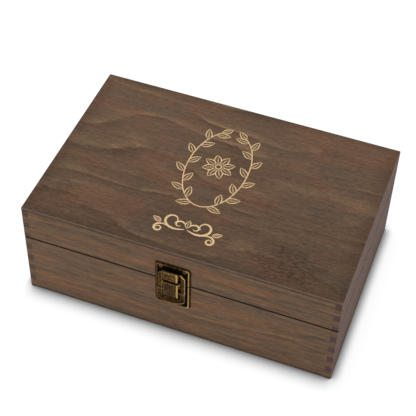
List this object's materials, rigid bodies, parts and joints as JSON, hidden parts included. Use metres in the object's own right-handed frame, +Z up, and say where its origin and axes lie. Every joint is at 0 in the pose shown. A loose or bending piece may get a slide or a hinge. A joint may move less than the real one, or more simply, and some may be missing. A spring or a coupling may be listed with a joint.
{
  "type": "keepsake box",
  "caption": "Rectangular wooden keepsake box with a hinged lid, finger-jointed corners, butt hinges at the back and a brass toggle latch in front.",
  "frame": {"origin": "under the middle of the base, on the surface that the box stands on", "axes": "+Z up, +X along the front from left to right, -Y out of the front face with the latch"},
  "size_m": [0.28, 0.1972, 0.102],
  "materials": {
    "stained_wood": "dark walnut stain, satin oil, open grain",
    "antique_brass": "darkened brass with rubbed bright edges"
  },
  "bodies": {
    "case": {"case_front": "stained_wood", "case_back": "stained_wood", "case_left": "stained_wood", "case_right": "stained_wood", "case_base": "stained_wood", "hinge_left_case_leaf": "antique_brass", "hinge_right_case_leaf": "antique_brass", "hinge_left_pin": "antique_brass", "hinge_right_pin": "antique_brass", "hinge_case_screws": "antique_brass", "latch_base_plate": "antique_brass", "latch_base_nails": "antique_brass", "latch_lever_pin": "antique_brass"},
    "lid": {"lid_front": "stained_wood", "lid_back": "stained_wood", "lid_left": "stained_wood", "lid_right": "stained_wood", "lid_top": "stained_wood", "hinge_left_lid_leaf": "antique_brass", "hinge_right_lid_leaf": "antique_brass", "hinge_lid_screws": "antique_brass", "latch_hook_plate": "antique_brass", "latch_hook_nails": "antique_brass"},
    "lever": {"latch_lever": "antique_brass", "latch_bail_pin": "antique_brass"},
    "bail": {"latch_bail": "antique_brass"}
  },
  "joints": [
    {"name": "lid_hinge", "type": "hinge", "parent": "case", "child": "lid", "pos_m": [0, 0.0946, 0.0662], "axis": [-1, 0, 0], "range_deg": [0, 100]},
    {"name": "lever_swing", "type": "hinge", "parent": "case", "child": "lever", "pos_m": [-0.003, -0.0967, 0.069], "axis": [-1, 0, 0], "range_deg": [0, 85]},
    {"name": "bail_swing", "type": "hinge", "parent": "lever", "child": "bail", "pos_m": [-0.003, -0.0962, 0.0575], "axis": [1, 0, 0], "range_deg": [0, 55]}
  ],
  "couplings": [
    {"joint": "bail_swing", "follows": "lever_swing", "ratio": 0.615}
  ]
}
